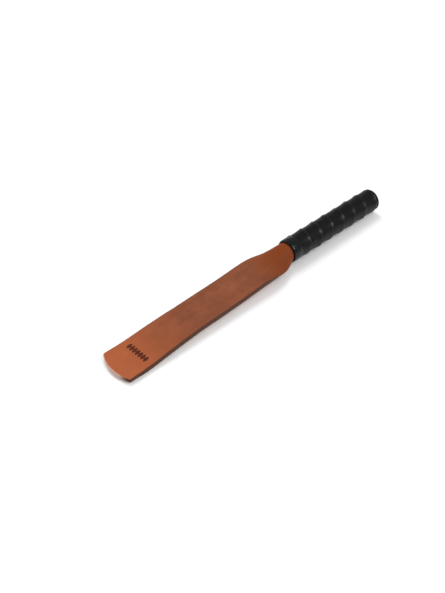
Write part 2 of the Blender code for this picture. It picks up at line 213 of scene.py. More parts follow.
# %% [markdown]
# ## Cutting one layer
#
# A layer is skinned from sections, like the ribs of a boat. Each section runs along the outer
# face and back along the glue face, with rounded shoulders between, because a burnished edge
# has been rubbed round. The tip's end is rounded the same way. Hand-cut edges wander a tenth
# of a millimetre or so, and skins are never quite even in thickness, so both get slow noise.

# %% Skin sections
def skin_sections(name, sections):
    """A closed mesh through sections, each one row and then an equal row back beneath it."""
    count = sections.shape[1]
    rows = np.arange(len(sections))[:, None] * count + np.arange(count)
    ahead = np.roll(rows, -1, axis=1)
    quads = np.stack([rows[:-1], ahead[:-1], ahead[1:], rows[1:]], axis=2)
    faces = quads.reshape(-1, 4).tolist()
    for ring in (rows[0], rows[-1]):
        for i in range(count // 2 - 1):
            faces.append([ring[i], ring[i + 1], ring[count - 2 - i], ring[count - 1 - i]])
    mesh = bpy.data.meshes.new(name)
    mesh.from_pydata(sections.reshape(-1, 3).tolist(), [], faces)
    work = bmesh.new()
    work.from_mesh(mesh)
    bmesh.ops.recalc_face_normals(work, faces=work.faces)
    work.to_mesh(mesh)
    work.free()
    return mesh


# %% Cut a layer
SHOULDER = 0.9 * MM
SEAM_SHOULDER = 0.25 * MM
SEAM_OPENING = 0.06 * MM
SHOULDER_STEPS = 5
FACE_POINTS = 58
END_STATIONS = 7
AFTER_END = 1.2 * MM
TAIL_STATIONS = 24
EDGE_WANDER = 0.14 * MM
EDGE_LUMP = 14 * MM
WANDER_FADE = 20 * MM
SHOULDER_SHARE = 0.7
RUBBED_EXTRA = 0.9
RUBBED_LENGTH = 70 * MM


def row_across(wide, shoulder, level, toward):
    """One row from -wide to wide at a level, its ends rounded down towards the edge's middle."""
    turn = np.linspace(0.0, math.pi / 2, SHOULDER_STEPS)
    in_by = shoulder * (1.0 - np.cos(turn))
    down_by = shoulder * (1.0 - np.sin(turn))
    flat_part = np.linspace(-wide + shoulder, wide - shoulder, FACE_POINTS)[1:-1]
    across = np.concatenate([-wide + in_by, flat_part, wide - in_by[::-1]])
    plain = np.full(len(flat_part), level)
    levels = np.concatenate([level - down_by, plain, level - down_by[::-1]])
    return across, levels * toward


def layer_stations():
    """Places of the sections: close together round the tip's end, then a millimetre apart."""
    end = SHOULDER * (1.0 - np.cos(np.linspace(0.0, math.pi / 2, END_STATIONS)))
    body = np.arange(TIP_CORNER_RADIUS, BLADE_LENGTH, MM)
    tail = np.linspace(BLADE_LENGTH, BLADE_LENGTH + TAIL_END, TAIL_STATIONS)
    return np.concatenate([end, [AFTER_END], body, tail]) - BLADE_LENGTH


def cut_layer(name, side, seed):
    """side 1 is the upper layer, -1 the lower one, which is pared thin under the tip."""
    sections = []
    for x in layer_stations():
        from_tip = x + BLADE_LENGTH
        place = [(x, side, 0.0)]
        in_blade = 1.0 - smoothstep((x + WANDER_FADE) / WANDER_FADE)
        wide = half_width(x) + EDGE_WANDER * wander(place, EDGE_LUMP, seed)[0] * in_blade
        under_tip = (1.0 - smoothstep(from_tip / TIP_SKIVE_LENGTH)) * (side < 0)
        into_end = max(SHOULDER - from_tip, 0.0)
        end_drop = SHOULDER - math.sqrt(SHOULDER**2 - into_end**2)
        level = LAYER_TOP - TIP_SKIVE_DEPTH * under_tip - end_drop
        rubbed = RUBBED_EXTRA * (1.0 - smoothstep(from_tip / RUBBED_LENGTH)) * (side < 0)
        shoulder = min(SHOULDER * (1.0 + rubbed), SHOULDER_SHARE * (level - SEAM_OPENING))
        across, face = row_across(wide, shoulder, level, side)
        back_across, back = row_across(wide, SEAM_SHOULDER, -SEAM_OPENING, -side)
        ring = [(x, a, o) for a, o in zip(across, face)]
        ring += [(x, a, o) for a, o in zip(back_across[::-1], back[::-1])]
        sections.append(ring)
    return skin_sections(name, np.array(sections))


# %% [markdown]
# ## Stamping the border
#
# The blade carries one pressed mark across its tip. Here it is a plain border of lozenges, as
# a leather worker's stamping tool would leave. The flat slab is cut finer just there, the
# points are pushed down by the tool's profile, and the leather that it displaces stands up as
# a low rim. How deep each point went is kept, because pressed leather also darkens.

# %% Make the stamp
STAMP_FROM_TIP = 30.6 * MM
STAMP_LENGTH = 27.6 * MM
STAMP_HEIGHT = 7.4 * MM
STAMP_DEPTH = 0.5 * MM
STAMP_LOZENGES = 7
STAMP_SLANT = math.radians(4.0)
STAMP_WALL = 0.16
STAMP_FINER = 3
LOZENGE_POWER = 1.5
RIM_HEIGHT = 0.15
RIM_SPREAD = 0.3
RIM_INSIDE = 0.12
stamp_middle = STAMP_FROM_TIP - BLADE_LENGTH


def tool_coordinates(flat):
    """Places in the stamping tool's own frame: along its length and across it."""
    x, y = flat[:, 0] - stamp_middle, flat[:, 1]
    along = y * math.cos(STAMP_SLANT) - x * math.sin(STAMP_SLANT)
    over = x * math.cos(STAMP_SLANT) + y * math.sin(STAMP_SLANT)
    return along, over


def stamp_press(flat):
    """How deep the tool presses, from -RIM_HEIGHT on the raised rim to 1 at the bottom."""
    along, over = tool_coordinates(flat)
    pitch = STAMP_LENGTH / STAMP_LOZENGES
    number = np.floor(along / pitch + STAMP_LOZENGES / 2)
    centre = (number + 0.5 - STAMP_LOZENGES / 2) * pitch
    beside, above = np.abs(along - centre) / (0.5 * pitch), np.abs(over) / (STAMP_HEIGHT / 2)
    inside = 1.0 - beside**LOZENGE_POWER - above**LOZENGE_POWER
    floor = smoothstep(inside / STAMP_WALL)
    rim = smoothstep((inside + RIM_SPREAD) / RIM_SPREAD) * (1.0 - smoothstep(inside / RIM_INSIDE))
    on_row = (number >= 0) & (number < STAMP_LOZENGES)
    return np.where(on_row, floor - RIM_HEIGHT * rim, 0.0)


def refine_under_stamp(mesh):
    """Cuts the faces under the tool finer, so that its walls come out sharp."""
    work = bmesh.new()
    work.from_mesh(mesh)
    edges = set()
    for face in work.faces:
        place = np.array([face.calc_center_median()])
        along, over = tool_coordinates(place)
        near = abs(along[0]) < STAMP_LENGTH / 2 + MM and abs(over[0]) < STAMP_HEIGHT / 2 + MM
        if near and place[0, 2] > 0.5 * LAYER_TOP:
            edges.update(face.edges)
    bmesh.ops.subdivide_edges(work, edges=list(edges), cuts=STAMP_FINER, use_grid_fill=True)
    work.to_mesh(mesh)
    work.free()


# %% Finish a layer
SWELL, SWELL_LUMP = 0.16 * MM, 26 * MM
DIMPLE, DIMPLE_LUMP = 0.05 * MM, 7 * MM
SWELL_ROOM = 0.15 * MM
SWELL_FADE = 12 * MM


def coordinates_of(mesh):
    flat = np.empty(len(mesh.vertices) * 3)
    mesh.vertices.foreach_get("co", flat)
    return flat.reshape(-1, 3)


def keep(mesh, name, values, kind="FLOAT"):
    """Keeps one value for each point of the mesh, for its material to read."""
    attribute = mesh.attributes.new(name, kind, "POINT")
    field = "vector" if kind == "FLOAT_VECTOR" else "value"
    attribute.data.foreach_set(field, np.asarray(values, np.float32).ravel())


def show(name, mesh, material, stands_for, sharp_over=50.0):
    """Makes and shades the piece, gives it its finish, hangs it on root, hides its CAD part."""
    mesh.shade_smooth()
    mesh.set_sharp_from_angle(angle=math.radians(sharp_over))
    mesh.materials.append(material)
    piece = bpy.data.objects.new(name, mesh)
    bpy.context.scene.collection.objects.link(piece)
    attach(piece, "root")
    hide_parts(stands_for)
    print(f"{name}: {len(mesh.vertices)} points")


def finish_layer(mesh, side, seed):
    """Adds unevenness and the stamp to a flat layer, keeps its flat coordinates, then bends it."""
    flat = coordinates_of(mesh)
    cut_edge = half_width(flat[:, 0]) - np.abs(flat[:, 1])
    inset = np.minimum(cut_edge, flat[:, 0] + BLADE_LENGTH)
    outer = smoothstep(flat[:, 2] * side / LAYER_TOP * 2.0 - 1.0)
    swell = SWELL * wander(flat * (1.0, 1.0, 0.0), SWELL_LUMP, seed)
    swell += DIMPLE * wander(flat, DIMPLE_LUMP, seed + 1)
    in_blade = 1.0 - smoothstep((flat[:, 0] + SWELL_FADE) / SWELL_FADE)
    press = stamp_press(flat) * outer if side > 0 else np.zeros(len(flat))
    shaped = flat.copy()
    shaped[:, 2] += side * outer * in_blade * (swell - SWELL_ROOM)
    shaped[:, 2] -= press * STAMP_DEPTH
    keep(mesh, "flat", flat, "FLOAT_VECTOR")
    keep(mesh, "inset", inset)
    keep(mesh, "press", press)
    bent = bend(shaped)
    # The leather rests on the table, so no point of it may lie lower.
    bent[:, 2] = np.maximum(bent[:, 2], 0.0)
    mesh.vertices.foreach_set("co", bent.ravel())
    mesh.update()


# %% [markdown]
# ## Writing shaders as sums
#
# A material is a graph of small sums, and a graph built one link at a time is hard to read.
# The class below wraps a socket, so that sums on values can be written with + - * as usual:
# each operator adds a Math node. Reflected forms are there too, so 1 - mask works. A recipe
# holds one material, and its node method adds any other kind of node.

# %% Wrap a socket
class Value:
    """The output of a node in a recipe, which can be used in a sum."""

    def __init__(self, recipe, socket):
        self.recipe, self.socket = recipe, socket

    def math(self, operation, other, swap=False):
        terms = {0: other, 1: self} if swap else {0: self, 1: other}
        return self.recipe.node("Math", {"operation": operation}, terms)

    def __add__(self, other):
        return self.math("ADD", other)

    def __sub__(self, other):
        return self.math("SUBTRACT", other)

    def __mul__(self, other):
        return self.math("MULTIPLY", other)

    def __radd__(self, other):
        return self.math("ADD", other, swap=True)

    def __rsub__(self, other):
        return self.math("SUBTRACT", other, swap=True)

    def __rmul__(self, other):
        return self.math("MULTIPLY", other, swap=True)

    def step(self, low, high):
        """0 below low, 1 above high, and smooth between."""
        settings = {"interpolation_type": "SMOOTHSTEP"}
        return self.recipe.node("MapRange", settings, {0: self, 1: low, 2: high})


# %% Write a recipe
class Recipe:
    """One material: its nodes, and what feeds its Principled shader."""

    def __init__(self, name):
        self.material = bpy.data.materials.new(name)
        self.material.use_nodes = True
        self.tree = self.material.node_tree
        self.shader = self.tree.nodes["Principled BSDF"]

    def node(self, kind, settings=None, inputs=None, output=0):
        made = self.tree.nodes.new("ShaderNode" + kind)
        for name, setting in (settings or {}).items():
            setattr(made, name, setting)
        for socket, value in (inputs or {}).items():
            self.feed(made.inputs[socket], value)
        return Value(self, made.outputs[output])

    def feed(self, socket, value):
        if isinstance(value, Value):
            self.tree.links.new(value.socket, socket)
        elif socket.type == "RGBA":
            socket.default_value = (*value, 1.0)
        else:
            socket.default_value = value

    def mix(self, factor, first, second):
        """A colour between two, which may be colours or links."""
        return self.node("Mix", {"data_type": "RGBA"}, {0: factor, 6: first, 7: second}, 2)

    def kept(self, name, output=2):
        """A value kept on the mesh: output 2 is a number, 1 a vector."""
        return self.node("Attribute", {"attribute_name": name}, output=output)

    def place(self):
        return self.node("TexCoord", output=3)

    def stretch(self, vector, scale):
        return self.node("VectorMath", {"operation": "MULTIPLY"}, {0: vector, 1: scale})

    def cloud(self, vector, size, detail=2.0, roughness=0.5):
        """Soft noise from 0 to 1, its lumps as big as size."""
        inputs = {"Vector": vector, "Scale": 1.0 / size, "Detail": detail, "Roughness": roughness}
        return self.node("TexNoise", {}, inputs)

    def cells(self, vector, size):
        """Distance to the middle of cells as big as size, in cells."""
        return self.node("TexVoronoi", {}, {"Vector": vector, "Scale": 1.0 / size})

    def bump(self, height, depth):
        inputs = {"Height": height, "Distance": depth, "Strength": 1.0}
        return self.node("Bump", {}, inputs)

    def finish(self, **sockets):
        for name, value in sockets.items():
            self.feed(self.shader.inputs[name.replace("_", " ")], value)
        print("finish ready:", self.material.name, "with", len(self.tree.nodes), "nodes")
        return self.material


# %% [markdown]
# ## Tan leather, grain side out
#
# Oiled vegetable-tanned leather is never one colour. It is mottled where the hide took the
# oil unevenly, and it has fine pores. Painted shade makes it darker and redder towards the
# neck and lays a thin dark crescent just in front of the band, and painted light makes the
# tip paler. Its cut edges are dyed dark and rubbed with wax until they shine, and a painted
# highlight lies on them round the tip's end. The inset kept on the mesh says how far a point
# is from the cut edge, so the dark line stays on the edge however the leather bends.

# %% Mix the tan leather
HIDE_DARK, HIDE_LIGHT = (0.172, 0.053, 0.025), (0.255, 0.079, 0.036)
# The tip's colour is painted light: the tip is painted paler, as if more light fell on it.
HIDE_PAINTED_LIT_TIP = (0.46, 0.118, 0.041)
# The neck's colour is painted shade: darker and redder where the rolled neck turns from the light.
HIDE_SHADED_NECK = (0.195, 0.036, 0.003)
HIDE_PRESSED = (0.07, 0.014, 0.008)
# A painted shade: the dark crescent in the gap just in front of the band.
HIDE_SHADED_BY_BAND = (0.016, 0.005, 0.003)
# The first edge colour is the dye; the second is a painted highlight for the tip's end.
EDGE_DYED, EDGE_PAINTED_HIGHLIGHT = (0.085, 0.034, 0.02), (0.62, 0.4, 0.32)
HIGHLIGHT_FROM_TIP = (0.6 * MM, 2.2 * MM)
HIGHLIGHT_ACROSS = (-19 * MM, -8 * MM)
PAINTED_LIGHT_TIP_FADE = 105 * MM
NECK_SHADE_FADE = (-58 * MM, -16 * MM)
BAND_SHADE_FADE = (-2.4 * MM, -0.5 * MM)


def edge_dye_and_highlight(mix, along):
    """Dyed dark along the sides, with a painted pale highlight round the tip's end."""
    across = mix.node("SeparateXYZ", {}, {0: mix.kept("flat", 1)}, 1)
    from_tip = along + BLADE_LENGTH
    # Painted highlight: pale round the tip's end, left dark towards its -y corner.
    painted_highlight = (1.0 - from_tip.step(*HIGHLIGHT_FROM_TIP)) * across.step(*HIGHLIGHT_ACROSS)
    return mix.mix(painted_highlight, EDGE_DYED, EDGE_PAINTED_HIGHLIGHT)


def mix_tan_leather():
    mix = Recipe("tan_leather_grain")
    flat = mix.kept("flat", 1)
    drift = mix.cloud(flat, 34 * MM, 3.0)
    mottle = mix.cloud(flat, 7 * MM, 4.0, 0.6)
    fibre = mix.cloud(mix.stretch(flat, (0.35, 1.0, 1.0)), 1.6 * MM, 3.0, 0.6)
    streak = mix.cloud(mix.stretch(flat, (0.16, 1.0, 1.0)), 5 * MM, 3.0, 0.6)
    pores = mix.cells(flat, 0.55 * MM)
    along = mix.node("SeparateXYZ", {}, {0: flat})
    tone = drift * 0.4 + mottle * 0.25 + streak * 0.25 + fibre * 0.1
    hide = mix.mix(tone.step(0.34, 0.66), HIDE_DARK, HIDE_LIGHT)
    # Painted light: the colour grows paler towards the tip.
    tip = 1.0 - (along + BLADE_LENGTH).step(0.0, PAINTED_LIGHT_TIP_FADE)
    hide = mix.mix(tip * (0.55 + mottle * 0.3), hide, HIDE_PAINTED_LIT_TIP)
    # Painted shade: darker and redder towards the neck.
    neck = along.step(*NECK_SHADE_FADE)
    hide = mix.mix(neck * 0.75, hide, HIDE_SHADED_NECK)
    press = mix.kept("press")
    hide = mix.mix(press.step(0.05, 0.5) * 0.9, hide, HIDE_PRESSED)
    inset = mix.kept("inset") + (mottle - 0.5) * (0.7 * MM)
    edge = 1.0 - inset.step(0.3 * MM, 1.0 * MM)
    hide = mix.mix(edge, hide, edge_dye_and_highlight(mix, along))
    # Painted shade: a thin dark crescent on the neck just in front of the band, where the gap is.
    band_shade = (along + (mottle - 0.5) * MM).step(*BAND_SHADE_FADE)
    hide = mix.mix(band_shade * 0.9, hide, HIDE_SHADED_BY_BAND)
    height = pores * 0.25 + fibre * 0.35 + mottle * 0.4
    return mix.finish(
        Base_Color=hide,
        Roughness=0.6 + (mottle - 0.5) * 0.16 - edge * 0.1,
        Specular_IOR_Level=0.13,
        Normal=mix.bump(height, 0.09 * MM),
    )


# %% [markdown]
# ## Tan leather, flesh side out
#
# The lower layer is glued with its grain in, so its face is the flesh side: paler, without
# shine, and napped with short fibres. Its edges are burnished together with the other layer's.

# %% Mix the flesh side
FLESH_DARK, FLESH_LIGHT = (0.27, 0.105, 0.048), (0.43, 0.19, 0.095)


def mix_flesh_leather():
    mix = Recipe("tan_leather_flesh")
    flat = mix.kept("flat", 1)
    drift = mix.cloud(flat, 28 * MM, 3.0)
    nap = mix.cloud(flat, 0.9 * MM, 4.0, 0.7)
    fibre = mix.cloud(mix.stretch(flat, (0.3, 1.0, 1.0)), 3.0 * MM, 4.0, 0.65)
    along = mix.node("SeparateXYZ", {}, {0: flat})
    tone = drift * 0.4 + nap * 0.25 + fibre * 0.35
    hide = mix.mix(tone.step(0.3, 0.7), FLESH_DARK, FLESH_LIGHT)
    inset = mix.kept("inset") + (fibre - 0.5) * (0.8 * MM)
    edge = 1.0 - inset.step(0.35 * MM, 1.25 * MM)
    hide = mix.mix(edge, hide, edge_dye_and_highlight(mix, along))
    return mix.finish(
        Base_Color=hide,
        Roughness=0.9 - edge * 0.4,
        Specular_IOR_Level=0.25,
        Normal=mix.bump(nap * 0.6 + fibre * 0.4, 0.28 * MM),
    )


# %% Lay the two layers
grain_mesh = cut_layer("grain_leather", 1, seed=3)
refine_under_stamp(grain_mesh)
finish_layer(grain_mesh, 1, seed=3)
show("grain_leather", grain_mesh, mix_tan_leather(), "upper_leather")

flesh_mesh = cut_layer("flesh_leather", -1, seed=8)
finish_layer(flesh_mesh, -1, seed=8)
show("flesh_leather", flesh_mesh, mix_flesh_leather(), "lower_leather")


# %% [markdown]
# ## The wound strip
#
# The grip is bound with one long strip of soft black leather. Each turn lies over the front
# margin of the one behind it, so the grip rises slowly along each turn and drops at its lap.
# The strip is swept here: one section, carried along a left-handed helix. The swell rises
# right to the lap's edge, which is rounded over.

# %% Draw the strip's section
STRIP_PITCH = 18.5 * MM
STRIP_LAP = 5.5 * MM
STRIP_FIRST_RIDGE = 13.0 * MM
STRIP_RIDGE_ANGLE = math.radians(38.0)
STRIP_STEP_ROOM = 0.4 * MM
STRIP_STEP_RUN = 1.4 * MM
STRIP_SWELL_RUN = 7.0 * MM
STRIP_ROUNDING = 0.9 * MM
STRIP_THICKNESS = 1.4 * MM
STRIP_MARGIN_THICKNESS = 0.8 * MM
STRIP_RIDGE_THICKNESS = 1.3 * MM
LAP_GAP = 0.15 * MM
EDGE_ROUND_DROP = 0.6 * MM
CLIMB_BEFORE, CLIMB_RUN = 2 * MM, 1.6 * MM
strip_width = STRIP_PITCH + STRIP_LAP
margin_radius = BORE_RADIUS + STRIP_MARGIN_THICKNESS
plain_radius = BORE_RADIUS + STRIP_THICKNESS
ridge_radius = margin_radius + LAP_GAP * 2 + STRIP_RIDGE_THICKNESS


def strip_outside(u):
    """Radius of the strip's face at u across its width, 0 at its front edge."""
    margin = STRIP_LAP + STRIP_STEP_ROOM
    step = smoothstep((u - margin) / STRIP_STEP_RUN)
    swell_run = STRIP_SWELL_RUN + STRIP_LAP - STRIP_ROUNDING
    swell = np.clip((u - STRIP_PITCH + STRIP_SWELL_RUN) / swell_run, 0.0, 1.0)
    rise = swell**3 * (ridge_radius - plain_radius)
    into_edge = np.clip((u - strip_width + STRIP_ROUNDING) / STRIP_ROUNDING, 0.0, 1.0)
    rounding = EDGE_ROUND_DROP * (1.0 - np.sqrt(1.0 - into_edge**2))
    return margin_radius + step * (plain_radius - margin_radius) + rise - rounding


def strip_inside(u):
    """Radius of the strip's back, which climbs onto the next turn just before the lap."""
    climb = smoothstep((u - STRIP_PITCH + CLIMB_BEFORE) / CLIMB_RUN)
    return BORE_RADIUS + climb * (margin_radius + LAP_GAP - BORE_RADIUS)


# %% [markdown]
# ## Winding it by hand
#
# The strip was cut and pulled by hand, so it isn't even. Five slow noises say so, each with a
# height and the size of its lumps: the lap's edge sways and wavers along the grip and lifts
# off it, the leather puckers near the lap, and it lies slack in between. The strip is wound
# too long at both ends, and then cut square, as its maker would do.

# %% Wind the strip
STRIP_STEPS = 120
HIDDEN_WIDTH, HIDDEN_POINTS, OPEN_POINTS = 5 * MM, 5, 52
POINTS_ON_ROUNDING = np.array([0.9, 0.97, 1.0])
SWAY, SWAY_LUMP = 0.55 * MM, 13 * MM
WAVER, WAVER_LUMP = 0.25 * MM, 5 * MM
LIFT, LIFT_LUMP = 0.22 * MM, 9 * MM
PUCKER, PUCKER_LUMP = 0.16 * MM, 3.2 * MM
SLACK, SLACK_LUMP = 0.16 * MM, 8 * MM
PUCKER_AWAY_FROM_LAP = 0.25
LAP_REACH, LAP_REACH_RUN = 7 * MM, 9 * MM
RELIEF_RUN = 2 * MM
HANDLED_WIDTH, HANDLED_RUN = 4.5 * MM, 3.0 * MM
lap_count = math.ceil((GRIP_LENGTH - STRIP_FIRST_RIDGE) / STRIP_PITCH)


def strip_grids():
    """Turns, place across and radius, a row for each section, and how many points face out."""
    turns = np.arange((lap_count + 3) * STRIP_STEPS + 1) / STRIP_STEPS
    hidden = np.linspace(0.0, HIDDEN_WIDTH, HIDDEN_POINTS)
    in_sight = np.linspace(STRIP_LAP, strip_width, OPEN_POINTS)[:-1]
    on_rounding = strip_width - STRIP_ROUNDING * (1.0 - POINTS_ON_ROUNDING)
    outer_u = np.unique(np.round(np.concatenate([hidden, in_sight, on_rounding]), 7))
    inner_u = np.linspace(strip_width, 0.0, len(outer_u))
    u = np.concatenate([outer_u, inner_u])
    radius = np.concatenate([strip_outside(outer_u), strip_inside(inner_u)])
    turn_grid = np.repeat(turns[:, None], len(u), axis=1)
    tall = (len(turns), 1)
    return turn_grid, np.tile(u, tall), np.tile(radius, tall), len(outer_u)


def wind_strip():
    """The strip as a closed mesh along the plain axis, with its unevenness in it."""
    turns, u, radius, outer = strip_grids()
    angle = STRIP_RIDGE_ANGLE + 2 * math.pi * turns
    ribbon = turns * 2 * math.pi * plain_radius
    line = np.stack([ribbon[:, 0], ribbon[:, 0] * 0, ribbon[:, 0] * 0], axis=1)
    sway = SWAY * wander(line, SWAY_LUMP, 21) + WAVER * wander(line, WAVER_LUMP, 22)
    lift = LIFT * wander(line, LIFT_LUMP, 23)
    near_lap = smoothstep((u - STRIP_PITCH + LAP_REACH) / LAP_REACH_RUN)
    on_face = np.zeros_like(u)
    on_face[:, :outer] = 1.0
    grid = np.stack([ribbon, u, u * 0], axis=2).reshape(-1, 3)
    pucker = PUCKER * wander(grid * (1.0, 0.35, 1.0), PUCKER_LUMP, 24).reshape(u.shape)
    slack = SLACK * wander(grid * (0.6, 1.0, 1.0), SLACK_LUMP, 25).reshape(u.shape)
    open_face = on_face * smoothstep((u - STRIP_LAP) / RELIEF_RUN)
    relief = open_face * (pucker * (PUCKER_AWAY_FROM_LAP + near_lap) + slack)
    radius = radius + relief + near_lap * lift[:, None] * on_face
    start = STRIP_FIRST_RIDGE + lap_count * STRIP_PITCH + (2 * STRIP_PITCH - strip_width)
    x = start + u - STRIP_PITCH * turns + sway[:, None] * near_lap
    points = np.stack([x, radius * np.cos(angle), radius * np.sin(angle)], axis=2)
    mesh = skin_sections("wound_strip", points)
    keep(mesh, "lay", np.stack([ribbon, u, radius - BORE_RADIUS], axis=2), "FLOAT_VECTOR")
    keep(mesh, "handled", smoothstep((u - strip_width + HANDLED_WIDTH) / HANDLED_RUN))
    return mesh


# %% Trim the strip
def trim_between(mesh, front, back):
    """Cuts the mesh square at two places along the grip, and closes the cuts."""
    work = bmesh.new()
    work.from_mesh(mesh)
    for place, away in ((front, -1.0), (back, 1.0)):
        geometry = [*work.verts, *work.edges, *work.faces]
        plane = {"plane_co": (place, 0.0, 0.0), "plane_no": (away, 0.0, 0.0)}
        cut = bmesh.ops.bisect_plane(work, geom=geometry, clear_outer=True, **plane)
        rim = [item for item in cut["geom_cut"] if isinstance(item, bmesh.types.BMEdge)]
        bmesh.ops.holes_fill(work, edges=rim)
    bmesh.ops.recalc_face_normals(work, faces=work.faces)
    work.to_mesh(mesh)
    work.free()


# %% [markdown]
# ## Black leather
#
# The strip is chrome-tanned and dyed through, so it is a soft, even black with a fine grain.
# Black hides colour, and what shows is how the grain scatters the light: a dull sheen along
# each swell, and a sharper glint on the laps, which hands have polished. The polish is a thin
# coat over the same leather, so the leather itself stays black.

# %% Mix the black leathers
STRIP_BLACK, STRIP_WORN = (0.003, 0.0028, 0.0029), (0.005, 0.0046, 0.0048)
BAND_BLACK, BAND_WORN = (0.003, 0.0035, 0.0045), (0.004, 0.0047, 0.006)


def mix_black_leather(name, color, worn, roughness, shine, grain_size, grain_depth):
    mix = Recipe(name)
    lay = mix.kept("lay", 1)
    grain = mix.cells(lay, grain_size)
    fine = mix.cloud(lay, grain_size * 0.6, 3.0, 0.6)
    crease = mix.cloud(mix.stretch(lay, (1.0, 0.3, 1.0)), 3.5 * MM, 3.0, 0.55)
    drift = mix.cloud(lay, 22 * MM, 2.0)
    handled = mix.kept("handled")
    shade = mix.mix((drift * 0.6 + crease * 0.4).step(0.35, 0.7), color, worn)
    shade = mix.mix(handled * 0.15, shade, [2 * part for part in worn])
    height = grain * 0.45 + fine * 0.2 + crease * 0.8
    return mix.finish(
        Base_Color=shade,
        Roughness=roughness + (crease - 0.5) * 0.16 - handled * 0.17,
        Specular_IOR_Level=shine,
        Coat_Weight=handled * 0.28,
        Coat_Roughness=0.3,
        Normal=mix.bump(height, grain_depth),
    )


wound_mesh = wind_strip()
trim_between(wound_mesh, BAND_LENGTH + LAP_GAP, TAIL_END)
wound_mesh.transform(grip_matrix)
strip_finish = mix_black_leather(
    "black_leather",
    STRIP_BLACK,
    STRIP_WORN,
    roughness=0.44,
    shine=0.16,
    grain_size=0.8 * MM,
    grain_depth=0.1 * MM,
)
show("wound_strip", wound_mesh, strip_finish, "grip_strip")


# %% [markdown]
# ## Turned pieces
#
# The band, the butt's disc and its tack are all round about the grip's axis, so each is one
# outline, turned. A leather ring that has been wetted and pulled on isn't perfectly round, so
# its outline is drawn with many points and then pushed about by slow noise.

# %% Make the lathe
LATHE_STEPS = 144
OUTLINE_SPACING = 0.7 * MM
STILL_RADIUS = 4 * MM
WELD_DISTANCE = 0.001 * MM


def rounded_outline(x_range, radius_range, fillet):
    """A closed outline round a rectangle with round corners, with points spaced along its sides."""
    (x0, x1), (r0, r1) = x_range, radius_range
    corners = [(x0 + fillet, r0 + fillet, 180), (x0 + fillet, r1 - fillet, 90)]
    corners += [(x1 - fillet, r1 - fillet, 0), (x1 - fillet, r0 + fillet, -90)]
    outline = []
    for x, radius, first in corners:
        for turn in (90, 67.5, 45, 22.5, 0):
            angle = math.radians(first + turn)
            outline.append((x + fillet * math.cos(angle), radius + fillet * math.sin(angle)))
    spaced = []
    for here, ahead in zip(outline, [*outline[1:], outline[0]]):
        count = max(1, round(math.dist(here, ahead) / OUTLINE_SPACING))
        way = np.array(ahead) - here
        spaced += [tuple(np.array(here) + way * i / count) for i in range(count)]
    return spaced


def lathe(name, outline, closed=True, steps=LATHE_STEPS):
    """Turns an outline of (place along, radius) about the grip's axis into a closed mesh."""
    angle = np.arange(steps) * 2 * math.pi / steps
    along = np.array([point[0] for point in outline])
    radius = np.array([point[1] for point in outline])
    x = np.tile(along, (steps, 1))
    y, z = np.outer(np.cos(angle), radius), np.outer(np.sin(angle), radius)
    rows = np.arange(steps)[:, None] * len(outline) + np.arange(len(outline))
    last = len(outline) if closed else len(outline) - 1
    ahead = np.roll(rows, -1, axis=0)
    side, ahead_side = np.roll(rows, -1, axis=1), np.roll(ahead, -1, axis=1)
    quads = np.stack([rows, side, ahead_side, ahead], axis=2)[:, :last].reshape(-1, 4)
    mesh = bpy.data.meshes.new(name)
    mesh.from_pydata(np.stack([x, y, z], axis=2).reshape(-1, 3).tolist(), [], quads.tolist())
    work = bmesh.new()
    work.from_mesh(mesh)
    bmesh.ops.remove_doubles(work, verts=work.verts, dist=WELD_DISTANCE)
    bmesh.ops.recalc_face_normals(work, faces=work.faces)
    work.to_mesh(mesh)
    work.free()
    return mesh


def stand_on_grip(mesh, unevenness, lump, seed, handled):
    """Makes a turned mesh uneven, keeps its places, and stands it on the grip."""
    place = coordinates_of(mesh)
    out = place * (0.0, 1.0, 1.0)
    length = np.maximum(np.linalg.norm(out, axis=1, keepdims=True), MM)
    push = unevenness * wander(place, lump, seed)[:, None] * smoothstep(length / STILL_RADIUS)
    mesh.vertices.foreach_set("co", (place + out / length * push).ravel())
    keep(mesh, "lay", place, "FLOAT_VECTOR")
    keep(mesh, "handled", handled(place))
    mesh.transform(grip_matrix)
    mesh.update()


# %% [markdown]
# ## The front band
#
# A ring of firmer leather holds the strip's front end down. It has been wetted, pulled on and
# left to shrink, so it is smoother than the strip, takes more of a shine, and stands a little
# fuller in its middle than at its rims. The rims are rounded. The gap in front, where the neck
# goes in, is in shade, and that dark crescent is painted onto the neck's leather.

# %% Turn the band
BAND_FILLET = 0.55 * MM
BAND_CROWN = 0.4 * MM
CROWN_OVER = 0.4
RIM_WIDTH = 1.2 * MM
RIM_FROM_BORE = 0.6 * MM


def crowned(point):
    """A point of the outer face, moved out in the band's middle and in at its rims."""
    from_middle = 2 * point[0] / BAND_LENGTH - 1
    outer = point[1] > (BORE_RADIUS + BAND_RADIUS) / 2
    return point[0], point[1] + outer * BAND_CROWN * (CROWN_OVER - from_middle**2)


band_outline = rounded_outline((0.0, BAND_LENGTH), (BORE_RADIUS, BAND_RADIUS), BAND_FILLET)
band_mesh = lathe("front_band", [crowned(point) for point in band_outline])


def band_rims(place):
    """1 on the two outer rims, where hands polish the leather."""
    radius = np.linalg.norm(place[:, 1:], axis=1)
    to_rim = np.minimum(place[:, 0], BAND_LENGTH - place[:, 0])
    outside = smoothstep((radius - BORE_RADIUS - RIM_FROM_BORE) / MM)
    return (1.0 - smoothstep(to_rim / RIM_WIDTH)) * outside


stand_on_grip(band_mesh, unevenness=0.12 * MM, lump=7 * MM, seed=31, handled=band_rims)
band_finish = mix_black_leather(
    "black_band_leather",
    BAND_BLACK,
    BAND_WORN,
    roughness=0.28,
    shine=0.24,
    grain_size=0.5 * MM,
    grain_depth=0.05 * MM,
)
show("front_band", band_mesh, band_finish, "finish_band")


